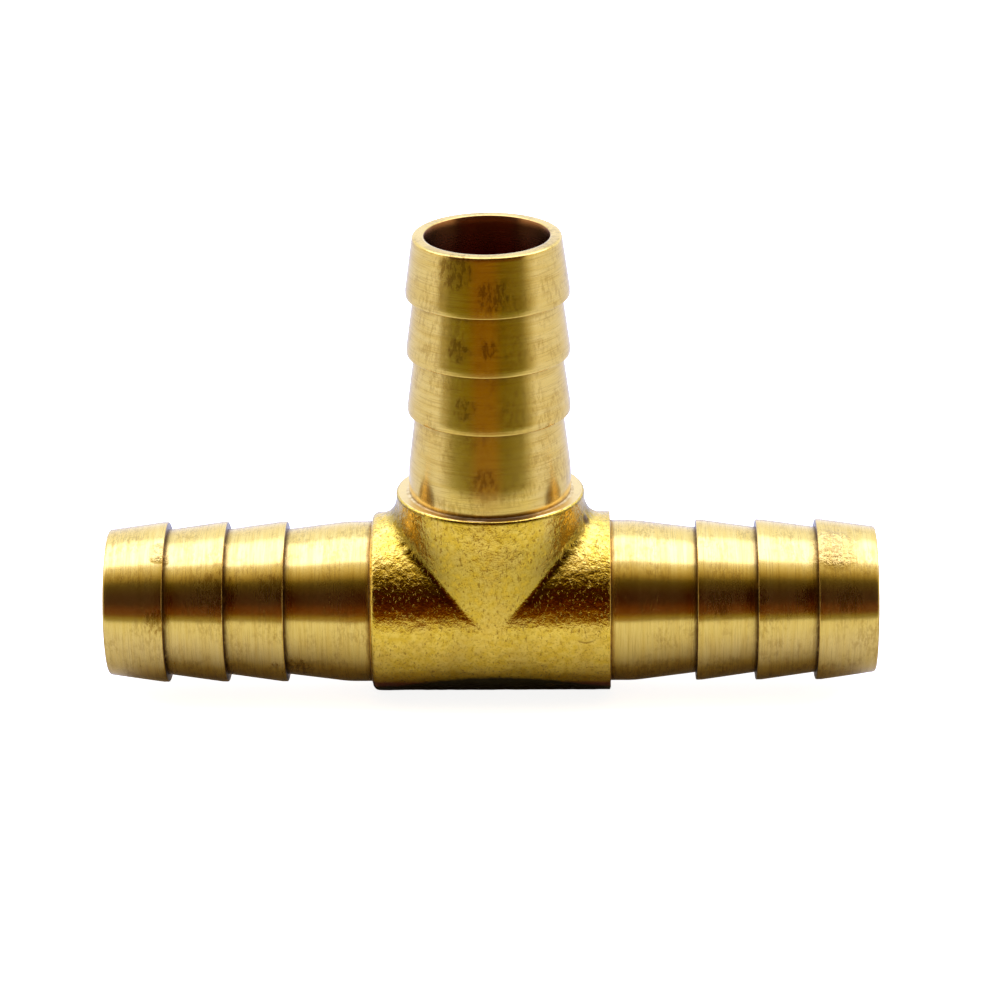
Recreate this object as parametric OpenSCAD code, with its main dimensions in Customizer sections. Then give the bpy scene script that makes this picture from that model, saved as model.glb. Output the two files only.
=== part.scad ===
// Barbed tee connector for 19 mm (3/4 in) hose.
// A forged brass tee body holds three turned brass stems, each brazed into a socket.
// Origin: where the axes of the run and the branch cross.
// +X along the run, +Z up the branch, millimetres.

/* [Passages] */
// Diameter of the waterway through every leg
bore_d = 16; // [13:0.1:16.4]

/* [Forged body] */
// Centre of the tee to the machined end face of the run, on each side
run_face = 15.5; // [15:0.1:18]
// Centre of the tee to the machined end face of the neck
neck_face = 15.7; // [15:0.1:18]
// Diameter of the run, the level part of the body
run_d = 23.4; // [22.6:0.1:26]
// Width of the neck at its shoulder, along the run
neck_d = 24.4; // [23.4:0.1:26]
// Depth of the oval neck from front to back
neck_depth = 23.2; // [22.4:0.1:24]
// Length over which the neck narrows to the run's own diameter
neck_taper = 6; // [3:0.5:8]
// Length of the straight collar below the shoulder
neck_collar = 2.5; // [1:0.5:4]

/* [Hose barbs] */
// Number of barbs on each stem
barb_count = 3; // [1:1:4]
// Distance from one crest to the next
barb_pitch = 7.8; // [6:0.1:9]
// Diameter over the crests, and of the straight land at the root
crest_d = 21; // [20.4:0.1:21.4]
// Diameter at the foot of each barb's cone
valley_d = 19; // [18.8:0.1:19.4]
// Diameter at the stem's tip
tip_d = 19.1; // [18.2:0.1:19.4]
// Length of the flat land on each crest, its rounded back edge included
crest_land = 0.8; // [0.5:0.1:1.5]
// Radius of each crest's back edge
crest_round = 0.15; // [0.1:0.05:0.4]
// Length of the cone that rises from the last barb to the root
root_cone = 8; // [5:0.1:10]
// Length of the straight land next to the body
root_land = 3.1; // [2.5:0.1:6]
// Chamfer on the outer edge of the tip
tip_chamfer = 0.2; // [0.1:0.05:0.4]
// Chamfer on the mouth of the bore
mouth_chamfer = 0.1; // [0.05:0.05:0.4]

/* [Brazed joints] */
// Diameter of the spigot on each stem
spigot_d = 18.6; // [18:0.1:18.6]
// Depth of each socket in the body
socket_depth = 5; // [4:0.1:5]
// Thickness of the braze film between stem and body
film = 0.1; // [0.05:0.01:0.15]
// Width of the rim of braze that shows round the root
rim = 0.35; // [0.2:0.05:0.5]
// Chamfer that leads the spigot into its socket
lead = 0.4; // [0.2:0.05:0.6]

/* [Hidden] */
round_fn = 96;
arc_step = 30;
bore_r = bore_d / 2;
crest_r = crest_d / 2;
valley_r = valley_d / 2;
tip_r = tip_d / 2;
spigot_r = spigot_d / 2;
socket_r = spigot_r + film;
cut_past = 1;

// Heights along a leg, from the body's end face
spigot_end = film - socket_depth;
seat = film;
cone_foot = seat + root_land + root_cone;
stem_end = cone_foot + barb_count * barb_pitch;

// Each leg: the turn that takes +Z to where it points, and the height of its end face
LEFT = [[0, -90, 0], run_face];
RIGHT = [[0, 90, 0], run_face];
BRANCH = [[0, 0, 0], neck_face];

// Points on an arc, in steps of arc_step degrees
function arc(centre, radius, from, to) =
    let (steps = ceil(abs(to - from) / arc_step))
    [
        for (i = [0 : steps])
        let (a = from + (to - from) * i / steps)
        centre + radius * [cos(a), sin(a)]
    ];

// One barb in [radius, height], from its back face to the end of its crest land
function barb(foot) = concat(
    [[valley_r, foot]],
    arc([crest_r - crest_round, foot + crest_round], crest_round, -90, 0),
    [[crest_r, foot + crest_land]]
);

// The barbs from the body outwards; the line from one to the next is the cone between them
function barbs() = [
    for (i = [0 : barb_count - 1])
    each barb(cone_foot + i * barb_pitch)
];

// Outline of a stem in [radius, height above the end face]
stem_outline = concat(
    [
        [bore_r, spigot_end],
        [spigot_r - lead, spigot_end],
        [spigot_r, spigot_end + lead],
        [spigot_r, seat],
        [crest_r, seat],
        [crest_r, seat + root_land]
    ],
    barbs(),
    [
        [tip_r, stem_end - tip_chamfer],
        [tip_r - tip_chamfer, stem_end],
        [bore_r + mouth_chamfer, stem_end],
        [bore_r, stem_end - mouth_chamfer]
    ]
);

// Outline of the braze: a rim round the root, a film under the seat, and a sleeve down the socket
braze_outline = [
    [crest_r + rim, 0],
    [crest_r, seat],
    [spigot_r, seat],
    [spigot_r, spigot_end + lead],
    [spigot_r - lead, spigot_end],
    [bore_r, spigot_end],
    [bore_r, -socket_depth],
    [socket_r, -socket_depth],
    [socket_r, 0]
];

// Outline of the neck's width in [radius, height]: as wide as the run at its foot, wider at the collar
neck_outline = [
    [0, 0],
    [run_d / 2, 0],
    [run_d / 2, neck_face - neck_collar - neck_taper],
    [neck_d / 2, neck_face - neck_collar],
    [neck_d / 2, neck_face],
    [0, neck_face]
];

// Places what was drawn along +Z above an end face on its leg
module on_leg(leg) {
    rotate(leg[0])
    translate([0, 0, leg[1]])
    children();
}

// The socket and waterway of one leg, to be cut from the body
module passage(leg) {
    on_leg(leg) {
        translate([0, 0, -leg[1]])
        cylinder(r = bore_r, h = leg[1] + cut_past, $fn = round_fn);
        translate([0, 0, -socket_depth])
        cylinder(r = socket_r, h = socket_depth + cut_past, $fn = round_fn);
    }
}

module tee_body() {
    color("goldenrod")
    difference() {
        union() {
            rotate([0, 90, 0])
            cylinder(d = run_d, h = 2 * run_face, center = true, $fn = round_fn);
            scale([1, neck_depth / neck_d, 1])
            rotate_extrude($fn = round_fn)
            polygon(neck_outline);
        }
        for (leg = [LEFT, RIGHT, BRANCH]) {
            passage(leg);
        }
    }
}

module barb_stem(leg) {
    color("darkkhaki")
    on_leg(leg)
    rotate_extrude($fn = round_fn)
    polygon(stem_outline);
}

module braze_ring(leg) {
    color("khaki")
    on_leg(leg)
    rotate_extrude($fn = round_fn)
    polygon(braze_outline);
}

tee_body();
barb_stem(LEFT);  // left_barb_stem
barb_stem(RIGHT);  // right_barb_stem
barb_stem(BRANCH);  // branch_barb_stem
braze_ring(LEFT);  // left_braze_ring
braze_ring(RIGHT);  // right_braze_ring
braze_ring(BRANCH);  // branch_braze_ring
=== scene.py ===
"""Looks for the barbed brass tee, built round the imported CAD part.

Sizes are in millimetres, in the CAD's frame: +X along the run, +Z up the branch.
The camera looks along +Y. Meshes are turned into metres as they are made.
"""

import math

import bpy
import numpy as np
from mathutils import Matrix, Vector, noise


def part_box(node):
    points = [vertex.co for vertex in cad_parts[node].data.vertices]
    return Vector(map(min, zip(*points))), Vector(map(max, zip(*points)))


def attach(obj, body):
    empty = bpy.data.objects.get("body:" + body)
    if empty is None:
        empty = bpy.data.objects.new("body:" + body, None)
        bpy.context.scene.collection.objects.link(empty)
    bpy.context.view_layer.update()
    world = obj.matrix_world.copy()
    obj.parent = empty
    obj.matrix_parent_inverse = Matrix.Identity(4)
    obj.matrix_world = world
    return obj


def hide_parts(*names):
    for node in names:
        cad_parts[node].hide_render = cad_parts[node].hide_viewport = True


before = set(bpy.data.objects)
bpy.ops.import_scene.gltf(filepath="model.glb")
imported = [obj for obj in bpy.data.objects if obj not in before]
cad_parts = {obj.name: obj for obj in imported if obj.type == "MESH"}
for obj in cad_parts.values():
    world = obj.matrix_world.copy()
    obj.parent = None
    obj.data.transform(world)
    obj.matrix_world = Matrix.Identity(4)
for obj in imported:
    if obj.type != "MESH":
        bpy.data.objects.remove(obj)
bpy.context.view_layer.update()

MM = 0.001

# Sizes that the CAD nodes give
body_low, body_high = (np.array(corner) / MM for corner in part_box("tee_body"))
stem_high = np.array(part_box("right_barb_stem")[1]) / MM
RUN_FACE = body_high[0]
NECK_FACE = body_high[2]
RUN_R = -body_low[2]
STEM_LENGTH = stem_high[0] - RUN_FACE
CREST_R = stem_high[1]

# Sizes repeated from the design
BORE_R = 8.0
SPIGOT_R = 9.3
SOCKET_R = 9.4
SOCKET_DEPTH = 5.0
FILM = 0.1
RIM = 0.35
VALLEY_R = 9.5
TIP_R = 9.55
BARBS = 3
BARB_PITCH = 7.8
ROOT_LAND = 3.1
ROOT_CONE = 8.0
NECK_WIDE = 12.2
NECK_DEEP = 11.6
NECK_COLLAR = 2.5
NECK_TAPER = 6.0

# Radius of the outer edge at each end of the body
EDGE = {"left": 0.8, "right": 0.15, "branch": 0.35}

# The turn of each leg, as the directions its own x, y and z point in, and the height of its end face
LEGS = {
    "left": (np.array([[0, 0, 1], [0, 1, 0], [-1, 0, 0]], float), RUN_FACE),
    "right": (np.array([[0, 0, -1], [0, 1, 0], [1, 0, 0]], float), RUN_FACE),
    "branch": (np.eye(3), NECK_FACE),
}


# ---------------------------------------------------------------- stage


def place_camera():
    """A long lens a little above the tee, turned slightly about its own axis."""
    position = Vector((11.293, -477.724, 205.067)) * MM
    target = Vector((1.249, 0.0, 14.162)) * MM
    roll = math.radians(-0.722)
    forward = (target - position).normalized()
    right = forward.cross(Vector((0, 0, 1))).normalized()
    up = right.cross(forward)
    turned_right = right * math.cos(roll) + up * math.sin(roll)
    turned_up = up * math.cos(roll) - right * math.sin(roll)
    axes = Matrix((turned_right, turned_up, -forward)).transposed()
    data = bpy.data.cameras.new("camera")
    data.sensor_width = 36.0
    data.lens = 142.75
    data.clip_start = 0.01
    data.clip_end = 20.0
    camera = bpy.data.objects.new("camera", data)
    camera.matrix_world = Matrix.Translation(position) @ axes.to_4x4()
    bpy.context.collection.objects.link(camera)
    bpy.context.scene.camera = camera


class Nodes:
    """A short way to write a node tree."""

    def __init__(self, tree):
        self.tree = tree
        tree.nodes.clear()

    def add(self, kind, settings=None, **inputs):
        node = self.tree.nodes.new(kind)
        for name, value in (settings or {}).items():
            setattr(node, name, value)
        for name, value in inputs.items():
            self.put(node, name, value)
        return node

    def put(self, node, name, value):
        """Sets or links an input, given by name or as i and its number."""
        socket = node.inputs[int(name[1:])] if name[1:].isdigit() else node.inputs[name.replace("_", " ")]
        if isinstance(value, bpy.types.NodeSocket):
            self.tree.links.new(value, socket)
        else:
            socket.default_value = value

    def math(self, operation, a, b=0.0, clamp=False):
        node = self.add("ShaderNodeMath", {"operation": operation, "use_clamp": clamp}, i0=a, i1=b)
        return node.outputs[0]

    def smooth(self, value, low, high):
        """0 below low, 1 above high, with a soft step between them."""
        settings = {"interpolation_type": "SMOOTHSTEP", "clamp": True}
        node = self.add("ShaderNodeMapRange", settings, i0=value, i1=low, i2=high)
        return node.outputs[0]

    def inverse(self, value):
        return self.math("SUBTRACT", 1.0, value)

    def ramp(self, value, stops):
        node = self.add("ShaderNodeValToRGB", Fac=value)
        ramp = node.color_ramp
        while len(ramp.elements) < len(stops):
            ramp.elements.new(1.0)
        for element, (place, colour) in zip(ramp.elements, stops):
            element.position = place
            element.color = (*colour, 1.0)
        return node.outputs["Color"]

    def mix(self, share, a, b):
        node = self.add("ShaderNodeMix", {"data_type": "RGBA"}, i0=share, i6=a, i7=b)
        return node.outputs[2]

    def layer(self, share, amount, base, colour):
        """Lays a colour over another where share is high, at most to the given amount."""
        return self.mix(self.math("MULTIPLY", share, amount), base, (*colour, 1))

    def split(self, vector):
        return self.add("ShaderNodeSeparateXYZ", Vector=vector).outputs

    def stretched(self, place, scale):
        return self.add("ShaderNodeVectorMath", {"operation": "MULTIPLY"}, i0=place, i1=scale).outputs[0]

    def noise(self, place, scale, detail=2.0, roughness=0.5):
        node = self.add("ShaderNodeTexNoise", Vector=place, Scale=scale, Detail=detail, Roughness=roughness)
        return node.outputs["Fac"]

    def distance(self, place, centre):
        node = self.add("ShaderNodeVectorMath", {"operation": "DISTANCE"}, i0=place, i1=centre)
        return node.outputs["Value"]

    def millimetres(self):
        """Object coordinates in millimetres. Every piece has its origin at the tee's centre."""
        place = self.add("ShaderNodeTexCoord").outputs["Object"]
        scaled = self.add("ShaderNodeVectorMath", {"operation": "SCALE"}, Vector=place, Scale=1 / MM)
        return scaled.outputs[0]

    def painted(self, name):
        """A number stored at each point of the mesh."""
        return self.add("ShaderNodeAttribute", {"attribute_name": name}).outputs["Fac"]


def make_world():
    """A white tent: bright strip overhead, pale back and sides, and a dark opening at the camera."""
    world = bpy.data.worlds.new("tent")
    bpy.context.scene.world = world
    world.use_nodes = True
    n = Nodes(world.node_tree)
    x, y, z = n.split(n.add("ShaderNodeTexCoord").outputs["Generated"])
    front = n.math("MULTIPLY", y, -1.0)
    # 0 at the front horizon, 0.5 straight up, 1 at the back horizon
    over = n.math("DIVIDE", n.math("ARCTAN2", z, front), math.pi)
    wall = n.ramp(over, [
        (0.00, (0.15, 0.045, 0.0)),
        (0.06, (0.11, 0.028, 0.0)),
        (0.11, (0.035, 0.004, 0.0)),
        (0.18, (0.030, 0.004, 0.0)),
        (0.25, (0.055, 0.032, 0.0)),
        (0.29, (0.09, 0.065, 0.003)),
        (0.32, (0.29, 0.22, 0.05)),
        (0.355, (0.50, 0.42, 0.20)),
        (0.40, (0.79, 0.74, 0.56)),
        (0.445, (0.88, 0.90, 0.92)),
        (0.463, (2.5, 2.8, 5.0)),
        (0.68, (2.5, 2.8, 5.0)),
        (0.725, (1.25, 1.5, 2.3)),
        (0.80, (1.2, 1.38, 1.9)),
        (0.88, (1.1, 1.22, 1.6)),
        (1.0, (1.15, 1.3, 1.8)),
    ])
    turn = n.math("ABSOLUTE", n.math("ARCTAN2", x, front))
    aside = n.smooth(turn, math.radians(62), math.radians(84))
    low = n.inverse(n.smooth(over, 0.36, 0.44))
    tent = n.mix(n.math("MULTIPLY", aside, low), wall, (0.93, 0.89, 0.80, 1))
    # Over the ends of the run the tent is plain, where the front, the strip and the back would meet
    poles = n.smooth(n.math("ABSOLUTE", x), 0.78, 0.92)
    tent = n.mix(poles, tent, (0.86, 0.82, 0.72, 1))
    seen_in_brass = n.add("ShaderNodeBackground", Color=tent, Strength=1.0)
    seen_by_camera = n.add("ShaderNodeBackground", Color=(1, 1, 1, 1), Strength=1.05)
    straight = n.add("ShaderNodeLightPath").outputs["Is Camera Ray"]
    both = n.add("ShaderNodeMixShader", i0=straight,
                 i1=seen_in_brass.outputs[0], i2=seen_by_camera.outputs[0])
    n.add("ShaderNodeOutputWorld", Surface=both.outputs[0])


def plane(name, height, material):
    """A wide level square of the stage."""
    reach = 4.0
    corners = [(-reach, -reach), (reach, -reach), (reach, reach), (-reach, reach)]
    mesh = bpy.data.meshes.new(name)
    mesh.from_pydata([(x, y, height * MM) for x, y in corners], [], [(0, 1, 2, 3)])
    mesh.materials.append(material)
    obj = bpy.data.objects.new(name, mesh)
    bpy.context.collection.objects.link(obj)
    return obj


def floor_material():
    """White paper, lit so strongly that only the deepest shadow shows."""
    material = bpy.data.materials.new("floor")
    material.use_nodes = True
    n = Nodes(material.node_tree)
    shader = n.add("ShaderNodeBsdfPrincipled", Roughness=1.0, Base_Color=(0.95, 0.95, 0.95, 1))
    n.put(shader, "Specular IOR Level", 0.0)
    n.put(shader, "Emission Color", (1.0, 0.995, 0.985, 1))
    n.put(shader, "Emission Strength", 0.90)
    n.add("ShaderNodeOutputMaterial", Surface=shader.outputs[0])
    return material


def table_material():
    """What the brass sees below it: a sheet of paper, and past its front edge a brown bench."""
    material = bpy.data.materials.new("table")
    material.use_nodes = True
    n = Nodes(material.node_tree)
    place = n.millimetres()
    x, y, _ = n.split(place)
    front = n.math("MULTIPLY", y, -1.0)
    # 0 straight behind on the left, 0.5 towards the camera, 1 straight behind on the right
    turn = n.math("ADD", n.math("DIVIDE", n.math("ARCTAN2", x, front), 2 * math.pi), 0.5)
    side = (0.66, 0.65, 0.58)
    paper = (0.69, 0.67, 0.44)
    near = n.ramp(turn, [(0.30, side), (0.36, paper), (0.64, paper), (0.70, side)])
    far = n.ramp(turn, [
        (0.285, side),
        (0.313, (0.20, 0.16, 0.03)),
        (0.37, (0.20, 0.18, 0.015)),
        (0.42, (0.18, 0.145, 0.0)),
        (0.46, (0.23, 0.120, 0.0)),
        (0.52, (0.24, 0.130, 0.0)),
        (0.56, (0.15, 0.125, 0.0)),
        (0.63, (0.18, 0.155, 0.010)),
        (0.67, (0.32, 0.28, 0.11)),
        (0.71, side),
    ])
    paper_edge = n.smooth(front, 91, 98)
    colour = n.mix(paper_edge, near, far)
    shader = n.add("ShaderNodeBsdfPrincipled", Roughness=1.0, Base_Color=colour)
    n.put(shader, "Specular IOR Level", 0.0)
    n.add("ShaderNodeOutputMaterial", Surface=shader.outputs[0])
    return material


def make_floor():
    """The white floor that the camera sees, and the table that the brass sees in its place."""
    level = -RUN_R - 0.02
    floor = plane("floor", level - 0.05, floor_material())
    floor.visible_glossy = False
    table = plane("table", level, table_material())
    table.visible_camera = False
    table.visible_diffuse = False
    table.visible_shadow = False


# ---------------------------------------------------------------- materials


def tarnish(n, place, specks, smears):
    """How much tarnish there is: thin specks in patches, and thicker smears with a soft halo."""
    patches = n.noise(place, 0.22, 3.0, 0.6)
    thick = n.math("MULTIPLY", n.smooth(patches, 0.42, 0.60), 0.5)
    halo = 0.0
    for centre, radius in smears:
        smear = n.inverse(n.smooth(n.distance(place, centre), 0.2 * radius, radius))
        thick = n.math("ADD", thick, n.math("MULTIPLY", smear, 2.5))
        halo = n.math("MAXIMUM", halo, n.math("MULTIPLY", smear, 0.4))
    stain = n.math("MULTIPLY", thick, n.smooth(specks, 0.44, 0.60), True)
    return n.math("MAXIMUM", stain, halo)


def turned_brass(axis, satin, scuffs=(), smears=()):
    """Brass off the lathe: fine rings about the axis, brown tarnish, grime and painted shade in corners,
    painted shade in the bore.

    satin is the least roughness. Each scuff is a centre and a radius in millimetres, where the surface
    is knocked about, and each smear the same where the tarnish is thick.
    """
    material = bpy.data.materials.new("turned_brass_" + axis.lower())
    material.use_nodes = True
    n = Nodes(material.node_tree)
    place = n.millimetres()
    rings = n.noise(n.stretched(place, [7.0 if name == axis else 0.2 for name in "XYZ"]), 1.0, 3.0, 0.6)
    bands = n.noise(n.stretched(place, [1.6 if name == axis else 0.1 for name in "XYZ"]), 1.0, 2.0, 0.5)
    # Tarnish streaks run round the run's stems, but down the branch
    streak = {"X": (2.0, 0.8, 0.8), "Z": (1.7, 1.7, 0.7)}[axis]
    specks = n.noise(n.stretched(place, streak), 1.2, 5.0, 0.7)
    grit = n.noise(place, 5.0, 2.0, 0.6)

    tint = n.mix(n.smooth(bands, 0.3, 0.7), (0.88, 0.615, 0.165, 1), (0.82, 0.545, 0.12, 1))
    tint = n.layer(n.smooth(rings, 0.50, 0.66), 0.5, tint, (0.55, 0.34, 0.07))
    tint = n.layer(n.smooth(grit, 0.62, 0.72), 0.35, tint, (0.45, 0.22, 0.04))
    stain = tarnish(n, place, specks, smears)
    tint = n.layer(stain, 0.7, tint, (0.30, 0.14, 0.01))
    # Painted shade with grime: darkens the corners behind the barbs and round the root
    dirt = n.math("MULTIPLY", n.painted("grime"), n.smooth(specks, 0.2, 0.5))
    tint = n.layer(dirt, 0.95, tint, (0.12, 0.05, 0.012))
    # Painted shade inside the bore: dark maroon, deepest furthest in
    oxide = n.painted("oxide")
    tint = n.layer(oxide, 1.0, tint, (0.24, 0.03, 0.012))

    rough = n.math("ADD", n.math("MULTIPLY", rings, 0.08), satin)
    rough = n.math("ADD", rough, n.math("MULTIPLY", stain, 0.03))
    rough = n.math("ADD", rough, n.math("MULTIPLY", n.math("MAXIMUM", dirt, oxide), 0.12))

    height = n.math("MULTIPLY", rings, 0.5)
    crumple = n.noise(place, 1.6, 4.0, 0.65)
    for centre, radius in scuffs:
        knocked = n.inverse(n.smooth(n.distance(place, centre), 0.4 * radius, radius))
        crumpled = n.math("MULTIPLY", n.math("MULTIPLY", crumple, knocked), 26.0)
        height = n.math("ADD", height, crumpled)
        flakes = n.math("MULTIPLY", knocked, n.smooth(crumple, 0.47, 0.57))
        tint = n.layer(flakes, 0.7, tint, (0.46, 0.27, 0.06))
    bump = n.add("ShaderNodeBump", Height=height, Strength=0.5, Distance=0.02 * MM)
    tangent = n.add("ShaderNodeTangent", {"direction_type": "RADIAL", "axis": axis})
    shader = n.add(
        "ShaderNodeBsdfPrincipled",
        Base_Color=tint,
        Metallic=1.0,
        Roughness=rough,
        Anisotropic=0.95,
        Anisotropic_Rotation=0.25,
        Normal=bump.outputs[0],
        Tangent=tangent.outputs[0],
    )
    n.add("ShaderNodeOutputMaterial", Surface=shader.outputs[0])
    return material


def scorched_underside(n, tint, x, z, peel):
    """Painted shade under the body: darkens the underside to maroon brown, and to near black in a low arch,
    standing for the reflected shadow below the tee. Gives the tint and the arch's mask.
    """
    arch = n.math("POWER", n.math("DIVIDE", n.math("SUBTRACT", x, 0.8), 13.0), 2.0)
    edge = n.math("ADD", n.math("MULTIPLY", n.inverse(n.math("MINIMUM", arch, 1.0)), 2.1), -8.6)
    depth = n.math("SUBTRACT", edge, n.math("ADD", z, n.math("MULTIPLY", peel, 0.5)))
    scorch = n.smooth(depth, -0.35, 0.35)
    tint = n.layer(n.inverse(n.smooth(z, -8.2, -7.3)), 0.85, tint, (0.42, 0.06, 0.10))
    return n.layer(scorch, 0.97, tint, (0.06, 0.055, 0.055)), scorch


def knock_marks(n, place, z):
    """Two knocks in the skin: a small ring low on the right, and a crescent above it."""
    ring_gap = n.math("ABSOLUTE", n.math("SUBTRACT", n.distance(place, (7.6, -8.0, -8.5)), 0.42))
    bow_gap = n.math("ABSOLUTE", n.math("SUBTRACT", n.distance(place, (12.3, -11.5, 0.6)), 1.6))
    bow_side = n.inverse(n.smooth(z, -0.9, -0.5))
    bow = n.math("MULTIPLY", n.inverse(n.smooth(bow_gap, 0.05, 0.2)), bow_side)
    return n.math("ADD", bow, n.inverse(n.smooth(ring_gap, 0.05, 0.16)))


def forged_brass():
    """The pickled skin of a hot forging: saturated gold, finely pitted, and paler where it is machined."""
    material = bpy.data.materials.new("forged_brass")
    material.use_nodes = True
    n = Nodes(material.node_tree)
    place = n.millimetres()
    x, _, z = n.split(place)
    grain = n.noise(place, 3.2, 3.0, 0.65)
    peel = n.noise(place, 1.1, 3.0, 0.6)
    cloud = n.noise(place, 0.3, 3.0, 0.5)
    strokes = n.noise(n.stretched(place, (2.2, 2.2, 0.9)), 1.3, 3.0, 0.7)

    tint = n.mix(n.smooth(peel, 0.35, 0.65), (0.80, 0.50, 0.045, 1), (0.92, 0.62, 0.10, 1))
    tint = n.layer(n.smooth(cloud, 0.45, 0.65), 0.3, tint, (0.76, 0.50, 0.13))
    tint = n.layer(n.inverse(n.smooth(grain, 0.36, 0.50)), 0.5, tint, (0.42, 0.24, 0.015))
    pits = n.smooth(strokes, 0.58, 0.67)
    tint = n.layer(pits, 0.65, tint, (0.30, 0.14, 0.015))

    # Painted shade with soot: darker in the crease where the neck meets the run, and under the neck's lip
    soot = n.math("MULTIPLY", n.painted("grime"), n.smooth(peel, 0.25, 0.5))
    tint = n.layer(soot, 0.9, tint, (0.20, 0.13, 0.008))
    nick = n.inverse(n.smooth(n.distance(place, (12.1, -2.6, 12.3)), 0.5, 1.0))
    tint = n.layer(nick, 0.85, tint, (0.10, 0.045, 0.01))

    # Painted shade on the underside: maroon brown, with a near black low arch
    tint, scorch = scorched_underside(n, tint, x, z, peel)

    # Painted shade inside the bore: dark maroon
    oxide = n.painted("oxide")
    tint = n.layer(oxide, 1.0, tint, (0.24, 0.03, 0.012))
    faced = n.painted("faced")
    tint = n.layer(faced, 0.8, tint, (0.84, 0.62, 0.26))
    rough = n.math("ADD", n.math("MULTIPLY", cloud, 0.06), 0.06)
    rough = n.math("ADD", rough, n.math("MULTIPLY", n.math("MAXIMUM", faced, oxide), 0.25))
    rough = n.math("ADD", rough, n.math("MULTIPLY", scorch, 0.15))

    knock = knock_marks(n, place, z)
    tint = n.layer(knock, 0.7, tint, (0.30, 0.16, 0.02))

    # The skin is waviest above the waist beside the neck, and machined flat on the end faces
    plain = n.inverse(faced)
    flank = n.math("MULTIPLY", n.smooth(z, 3.0, 7.5), n.smooth(n.math("ABSOLUTE", x), 6.5, 10.0))
    wavy = n.math("MULTIPLY", plain, n.math("ADD", n.math("MULTIPLY", flank, 0.7), 0.3))
    coarse = n.add("ShaderNodeBump", Height=peel, Strength=wavy, Distance=0.17 * MM)
    relief = n.math("SUBTRACT", grain, n.math("MULTIPLY", n.math("ADD", knock, pits), 0.5))
    bump = n.add("ShaderNodeBump", Height=relief, Strength=plain, Distance=0.035 * MM,
                 Normal=coarse.outputs[0])
    shader = n.add(
        "ShaderNodeBsdfPrincipled", Base_Color=tint, Metallic=1.0, Roughness=rough, Normal=bump.outputs[0]
    )
    n.add("ShaderNodeOutputMaterial", Surface=shader.outputs[0])
    return material


def braze_alloy():
    """Filler that has flowed and set, cleaned back with the joint, with a few dull flux stains."""
    material = bpy.data.materials.new("braze_alloy")
    material.use_nodes = True
    n = Nodes(material.node_tree)
    cloud = n.noise(n.millimetres(), 0.9, 3.0, 0.6)
    tint = n.mix(n.smooth(cloud, 0.4, 0.65), (0.82, 0.61, 0.26, 1), (0.62, 0.40, 0.12, 1))
    rough = n.math("ADD", n.math("MULTIPLY", cloud, 0.2), 0.25)
    bump = n.add("ShaderNodeBump", Height=cloud, Strength=0.3, Distance=0.03 * MM)
    shader = n.add(
        "ShaderNodeBsdfPrincipled", Base_Color=tint, Metallic=1.0, Roughness=rough, Normal=bump.outputs[0]
    )
    n.add("ShaderNodeOutputMaterial", Surface=shader.outputs[0])
    return material


# ---------------------------------------------------------------- mesh tools


def make_piece(name, points, faces, material, node, sharp=40.0):
    """A mesh piece that stands for a CAD node. Points come in millimetres."""
    mesh = bpy.data.meshes.new(name)
    mesh.from_pydata((np.asarray(points) * MM).tolist(), [], faces)
    mesh.materials.append(material)
    mesh.validate()
    mesh.update()
    mesh.shade_smooth()
    mesh.set_sharp_from_angle(angle=math.radians(sharp))
    obj = bpy.data.objects.new(name, mesh)
    bpy.context.collection.objects.link(obj)
    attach(obj, "root")
    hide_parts(node)
    return obj


def paint(obj, name, values):
    """Stores one number at each point of a piece, for its material to read."""
    layer = obj.data.attributes.new(name, "FLOAT", "POINT")
    layer.data.foreach_set("value", np.asarray(values, np.float32))


def ring_faces(rings, columns):
    """Quads between closed rings of points, the last ring joined to the first."""
    faces = []
    for i in range(rings):
        a = i * columns
        b = ((i + 1) % rings) * columns
        for j in range(columns):
            k = (j + 1) % columns
            faces.append((a + j, a + k, b + k, b + j))
    return faces


def on_leg(points, leg):
    """Moves points drawn along +Z above an end face to their leg."""
    turn, face = LEGS[leg]
    return (points + np.array([0, 0, face])) @ turn


def arc(centre, radius, start, end, steps):
    """Points on an arc round a (radius, height) centre, angles in degrees."""
    angles = np.radians(np.linspace(start, end, steps + 1))
    return [(centre[0] + radius * math.cos(a), centre[1] + radius * math.sin(a)) for a in angles]


def line(start, end, step):
    """Points from start to just before end, about a step apart."""
    count = max(1, round(math.dist(start, end) / step))
    start, end = np.array(start), np.array(end)
    return [tuple(start + (end - start) * i / count) for i in range(count)]


def polyline(corners, step):
    """Points along straight stretches between corners, the last corner left out."""
    return [point for a, b in zip(corners, corners[1:]) for point in line(a, b, step)]


def lathe(profile, angles):
    """Points of a (radius, height) profile turned about +Z, ring by ring, as (ring, column, xyz)."""
    radius, height = np.asarray(profile)[:, 0:1], np.asarray(profile)[:, 1:2]
    z = np.repeat(height, len(angles), axis=1)
    return np.stack([radius * np.sin(angles), -radius * np.cos(angles), z], axis=-1)


def full_turn(columns):
    return np.linspace(0, 2 * math.pi, columns, endpoint=False)


# ---------------------------------------------------------------- stems and braze

SPIGOT_END = FILM - SOCKET_DEPTH
SPIGOT_LEAD = 0.4
LAND_END = FILM + ROOT_LAND
CONE_FOOT = LAND_END + ROOT_CONE
STEPS = [CONE_FOOT + barb * BARB_PITCH for barb in range(BARBS)]


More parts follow.
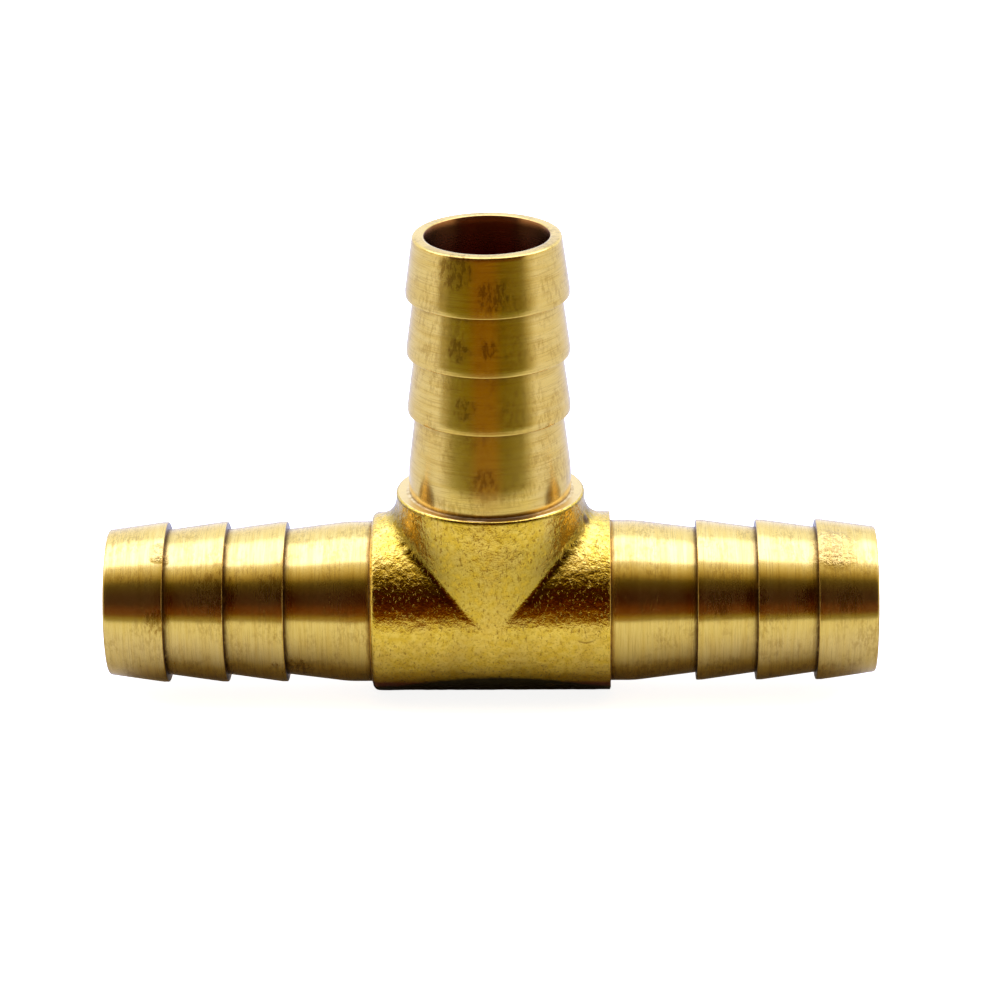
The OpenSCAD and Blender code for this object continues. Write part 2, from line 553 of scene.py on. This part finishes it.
def stem_profile():
    """The stem's outline in (radius, height above the end face), with softened edges."""
    tip = STEM_LENGTH
    crest_edge, tip_edge, mouth_edge = 0.13, 0.35, 0.1
    points = polyline([
        (BORE_R, SPIGOT_END),
        (SPIGOT_R - SPIGOT_LEAD, SPIGOT_END),
        (SPIGOT_R, SPIGOT_END + SPIGOT_LEAD),
        (SPIGOT_R, FILM),
        (CREST_R - 0.05, FILM),
        (CREST_R, FILM + 0.06),
    ], 0.6)
    # The root: a straight land that bends gently into its cone
    bend = 1.0
    slope = (CREST_R - VALLEY_R) / ROOT_CONE
    points += line((CREST_R, FILM + 0.06), (CREST_R, LAND_END - bend), 0.5)
    for way in np.linspace(0, 2 * bend, 9)[:-1]:
        points.append((CREST_R - slope * way * way / (4 * bend), LAND_END - bend + way))
    points += line((CREST_R - slope * bend, LAND_END + bend), (VALLEY_R, CONE_FOOT), 0.5)
    for start in STEPS:
        points += line((VALLEY_R, start), (CREST_R - crest_edge, start), 0.2)
        points += arc((CREST_R - crest_edge, start + crest_edge), crest_edge, -90, 0, 5)
        land = (CREST_R, start + 0.7)
        points += line((CREST_R, start + crest_edge), land, 0.2)[1:]
        last = start == STEPS[-1]
        lower = (TIP_R, tip - tip_edge) if last else (VALLEY_R, start + BARB_PITCH)
        points += line(land, lower, 0.4)
    points += arc((TIP_R - tip_edge, tip - tip_edge), tip_edge, 8, 90, 4)
    points += line((TIP_R - tip_edge, tip), (BORE_R + mouth_edge, tip), 0.3)[1:]
    points += polyline([(BORE_R + mouth_edge, tip), (BORE_R, tip - mouth_edge), (BORE_R, SPIGOT_END)], 1.0)
    return np.array(points)


def corner_grime(profile):
    """Painted shade and grime at each point of the profile: dark in the corner behind each barb and round
    the root.
    """
    radius, height = profile.T
    grime = np.exp(-np.abs(height - FILM) / 0.1) * (radius > SPIGOT_R)
    for start in STEPS:
        behind = start - height
        corner = np.where(behind >= 0, np.exp(-np.maximum(behind, 0) / 0.3), 0)
        on_step = (np.abs(height - start) < 0.02) & (radius > VALLEY_R - 0.01)
        face = on_step * np.clip((CREST_R - 0.15 - radius) / 0.4, 0, 1)
        grime = np.maximum(grime, np.maximum(corner, face))
    return grime * (radius > BORE_R + 0.3)


def bore_oxide(profile):
    """Painted shade at each point of the profile: none outside, growing darker from the mouth down the
    bore.
    """
    radius, height = profile.T
    depth = STEM_LENGTH - height
    return np.where(radius < BORE_R + 0.02, 0.75 + 0.25 * np.clip(depth / 5.0, 0, 1), 0)


def make_stem(leg, material):
    columns = 240
    profile = stem_profile()
    points = lathe(profile, full_turn(columns)).reshape(-1, 3)
    name = leg + "_barb_stem"
    faces = ring_faces(len(profile), columns)
    stem = make_piece(name + "_detail", on_leg(points, leg), faces, material, name, 50.0)
    paint(stem, "grime", np.repeat(corner_grime(profile), columns))
    paint(stem, "oxide", np.repeat(bore_oxide(profile), columns))


def make_braze(leg, material):
    """The braze ring: a rim that wanders a little, over the film and sleeve that fill the joint."""
    columns = 240
    profile = [
        (CREST_R + RIM, 0.0),
        (CREST_R + 0.6 * RIM, 0.02),
        (CREST_R + 0.25 * RIM, 0.06),
        (CREST_R, FILM),
        (SPIGOT_R, FILM),
        (SPIGOT_R, SPIGOT_END + SPIGOT_LEAD),
        (SPIGOT_R - SPIGOT_LEAD, SPIGOT_END),
        (BORE_R, SPIGOT_END),
        (BORE_R, -SOCKET_DEPTH),
        (SOCKET_R, -SOCKET_DEPTH),
        (SOCKET_R, 0.0),
    ]
    turn = full_turn(columns)
    points = lathe(profile, turn)
    for j, angle in enumerate(turn):
        wander = noise.noise(Vector((3 * math.cos(angle), 3 * math.sin(angle), ord(leg[0]))))
        points[0, j, :2] *= 1 + 0.012 * wander
    name = leg + "_braze_ring"
    faces = ring_faces(len(profile), columns)
    make_piece(name + "_detail", on_leg(points.reshape(-1, 3), leg), faces, material, name)


# ---------------------------------------------------------------- body


def smoothstep(value, low, high):
    share = np.clip((value - low) / (high - low), 0, 1)
    return share * share * (3 - 2 * share)


def blended_distance(points):
    """Distance to the run and the oval neck, filleted where they meet at an angle.

    Also gives the distance's gradient, and a number from 0 to 1 for how far inside the corner a point is.
    """
    x, y, z = points.T
    collar_foot = NECK_FACE - NECK_COLLAR
    rise = smoothstep(z, collar_foot - NECK_TAPER, collar_foot)
    wide = RUN_R + (NECK_WIDE - RUN_R) * rise
    deep = RUN_R + (NECK_DEEP - RUN_R) * rise
    squash = wide / deep
    low = np.minimum(z, 0.0)
    run_r = np.sqrt(y * y + z * z)
    neck_r = np.sqrt(x * x + (y * squash) ** 2 + low * low)
    run, neck = run_r - RUN_R, neck_r - wide
    run_way = np.stack([np.zeros_like(x), y / run_r, z / run_r], 1)
    neck_way = np.stack([x / neck_r, y * squash ** 2 / neck_r, low / neck_r], 1)
    corner = 1 - (run_way * neck_way).sum(1)
    blend = 0.1 + 3.3 * np.clip(corner, 0, 1) ** 2
    share = np.clip(0.5 + 0.5 * (run - neck) / blend, 0, 1)
    distance = run + (neck - run) * share - blend * share * (1 - share)
    way = run_way * (1 - share)[:, None] + neck_way * share[:, None]
    inside = np.clip(1 - np.maximum(run / 5.0, neck / 1.5), 0, 1) * np.clip(2 * corner, 0, 1)
    return distance, way, inside


def settle(points):
    """Moves points on to the blended surface and returns them with their outward directions."""
    for _ in range(8):
        distance, way, _ = blended_distance(points)
        points = points - (distance / (way * way).sum(1))[:, None] * way
    way = way / np.linalg.norm(way, axis=1)[:, None]
    return points, way


def skin_relief(point):
    """How far the forged skin stands in or out at a point: broad waves, then orange peel."""
    p = Vector(point)
    broad = noise.noise(p * 0.22) * 0.05
    peel = noise.noise(p * 0.9 + Vector((7, 3, 1))) * 0.028
    fine = noise.noise(p * 1.9 + Vector((1, 9, 4))) * 0.016
    return broad + peel + fine


def seam_height(name, radius, turn):
    """Height above the centre where a leg's cylinder meets the other legs', at each angle round the leg."""
    aside = radius * np.sin(turn)
    if name == "branch":
        return np.abs(aside)
    upward = aside if name == "left" else -aside
    return np.maximum(upward, 0)


def outside(name, turn, rows):
    """A leg's outer skin from the seam to its rounded edge, as (row, column, xyz)."""
    _, face = LEGS[name]
    seam = seam_height(name, RUN_R, turn) - face
    steps = np.linspace(0, 1, rows + 1)[:, None]
    height = seam + steps * (-EDGE[name] - seam)
    x = np.repeat((RUN_R * np.sin(turn))[None], rows + 1, 0)
    y = np.repeat((-RUN_R * np.cos(turn))[None], rows + 1, 0)
    grid = np.stack([x, y, height], -1)
    flat, way = settle(on_leg(grid.reshape(-1, 3), name))
    to_edge = face - EDGE[name] - flat @ LEGS[name][0][2]
    relief = np.array([skin_relief(p) for p in flat]) * np.clip(to_edge / 0.8, 0, 1)
    return (flat + way * relief[:, None]).reshape(grid.shape)


def lip_height(name, turn):
    """The burr left along the outer edge of an end face, worn away in places."""
    worn = [noise.noise(Vector((4 * math.cos(a), 4 * math.sin(a), 7 + ord(name[0])))) for a in turn]
    return 0.05 * np.clip(0.6 + 1.6 * np.array(worn), 0, 1)


def end(name, turn):
    """A leg's rounded edge, end face, socket and bore, down to the seam inside."""
    edge = EDGE[name]
    radius = NECK_WIDE if name == "branch" else RUN_R
    depth = NECK_DEEP if name == "branch" else RUN_R
    profile = arc((radius - edge, -edge), edge, 0, 90, 4)[1:]
    lip = len(profile)
    profile += [(radius - edge - 0.09, 0.0), (radius - edge - 0.22, 0.0)]
    profile += line((radius - edge - 0.3, 0.0), (SOCKET_R, 0.0), 0.4)
    profile += [(SOCKET_R, 0.0), (SOCKET_R, -2.5), (SOCKET_R, -SOCKET_DEPTH), (BORE_R, -SOCKET_DEPTH)]
    points = lathe(profile, turn)
    points[lip, :, 2] += lip_height(name, turn)
    # An oval outside, a round socket, and everything between in proportion
    outness = np.clip((np.array(profile)[:, 0] - SOCKET_R) / (radius - SOCKET_R), 0, 1)
    points[:, :, 1] *= 1 - outness[:, None] * (1 - depth / radius)
    _, face = LEGS[name]
    seam = lathe([(BORE_R, 0.0)], turn)
    seam[0, :, 2] = seam_height(name, BORE_R, turn) - face
    grid = np.concatenate([points, seam])
    return on_leg(grid.reshape(-1, 3), name).reshape(grid.shape)


class Welder:
    """Collects points and faces, and gives one number to points that coincide."""

    def __init__(self):
        self.points = []
        self.faces = []
        self.seen = {}

    def grid(self, points):
        """Adds a (row, column, xyz) grid that closes on itself along the columns."""
        rows, columns = points.shape[:2]
        ids = [[self.number(p) for p in row] for row in points]
        for i in range(rows - 1):
            for j in range(columns):
                k = (j + 1) % columns
                face = [ids[i][j], ids[i][k], ids[i + 1][k], ids[i + 1][j]]
                face = [v for n, v in enumerate(face) if v != face[n - 1]]
                if len(face) > 2:
                    self.faces.append(face)

    def number(self, point):
        key = tuple(np.round(point, 4))
        if key not in self.seen:
            self.seen[key] = len(self.points)
            self.points.append(point)
        return self.seen[key]


def make_body(material):
    columns, rows = ((320, 60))
    turn = full_turn(columns)
    welder = Welder()
    for name in LEGS:
        welder.grid(np.concatenate([outside(name, turn, rows), end(name, turn)]))
    body = make_piece("tee_body_detail", welder.points, welder.faces, material,
                      "tee_body", 50.0)
    x, y, z = np.array(welder.points).T
    from_axes = np.minimum(np.hypot(y, z), np.where(z > 0, np.hypot(x, y), np.inf))
    on_face = np.maximum(np.abs(x) > RUN_FACE - 0.01, z > NECK_FACE - 0.01)
    # Painted shade on the body's bore
    paint(body, "oxide", from_axes < BORE_R + 0.05)
    paint(body, "faced", on_face)
    # Painted shade with grime: darkest deep in the crease between neck and run, and in a line under the
    # neck's lip
    _, _, inside = blended_distance(np.array(welder.points))
    under_lip = np.exp(-((z - NECK_FACE + 0.3) / 0.15) ** 2)
    skin = (from_axes > SOCKET_R + 0.1) * (1 - on_face)
    paint(body, "grime", np.maximum(inside ** 0.7, under_lip) * skin)


# ---------------------------------------------------------------- the scene

place_camera()
make_world()
make_floor()
bpy.context.scene.view_settings.view_transform = "Standard"

run_scuffs = [((44.4, -4.2, 9.2), 4.0), ((-42.8, -5.0, 8.8), 1.8)]
run_smears = [
    ((-25.1, -8.6, -6.0), 2.2),
    ((-27.9, -9.2, -5.1), 0.8),
    ((-35.2, -8.5, 5.0), 3.5),
    ((-28.0, -8.5, 5.5), 2.5),
    ((-43.0, -9.8, 1.5), 2.0),
    ((34.0, -9.0, 4.0), 2.6),
    ((29.5, -9.2, 3.6), 2.2),
    ((41.0, -9.0, 3.6), 2.4),
    ((46.0, -9.2, 3.8), 2.2),
]
branch_smears = [
    ((-3.7, -9.0, 48.5), 3.0),
    ((0.8, -10.1, 45.6), 2.5),
    ((-3.5, -9.5, 38.0), 2.0),
    ((0.2, -10.0, 38.2), 1.5),
    ((-2.9, -9.5, 30.3), 2.0),
    ((-0.2, -10.0, 21.0), 2.0),
]
turned_x = turned_brass("X", 0.21, run_scuffs, run_smears)
turned_z = turned_brass("Z", 0.12, (), branch_smears)
filler = braze_alloy()
make_body(forged_brass())
for leg, metal in (("left", turned_x), ("right", turned_x), ("branch", turned_z)):
    make_stem(leg, metal)
    make_braze(leg, filler)
